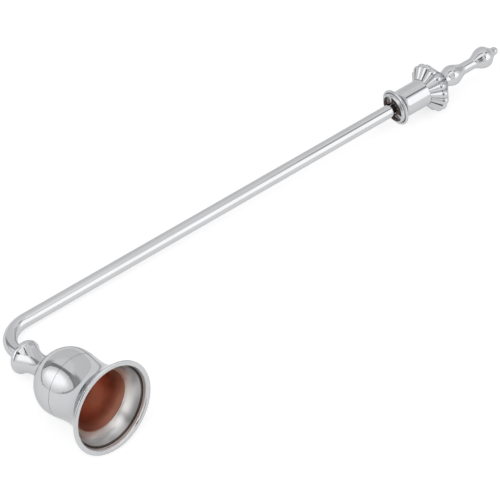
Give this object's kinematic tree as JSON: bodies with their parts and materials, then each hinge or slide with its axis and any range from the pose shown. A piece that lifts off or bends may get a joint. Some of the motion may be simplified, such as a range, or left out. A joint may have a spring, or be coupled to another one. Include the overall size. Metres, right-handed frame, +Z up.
{
  "type": "candle snuffer",
  "caption": "Polished chrome candle snuffer: flared bell with a copper liner, spool collar, bent round rod and a handle with a fluted crown and a baluster finial, lying on its side.",
  "frame": {"origin": "middle of the footprint on the table that the snuffer lies on", "axes": "+X along the rod to the finial's tip, -Y the way the bell's mouth faces, +Z up"},
  "size_m": [0.2582, 0.0788, 0.0376],
  "materials": {
    "chrome_bar": "bright plated bar",
    "chrome_turned": "bright plated turned metal",
    "chrome_bell": "bright outside, brushed inside the lip",
    "copper": "brushed copper-coloured cup",
    "steel": "plain turned steel"
  },
  "bodies": {
    "root": {"rod": "chrome_bar", "collar": "chrome_turned", "bell_dome": "chrome_bell", "bell_skirt": "chrome_bell", "bell_liner": "copper", "bell_washer": "steel", "bell_nut": "steel", "ferrule": "chrome_turned", "ferrule_cap": "chrome_turned", "crown": "chrome_turned", "finial": "chrome_turned"}
  },
  "joints": []
}
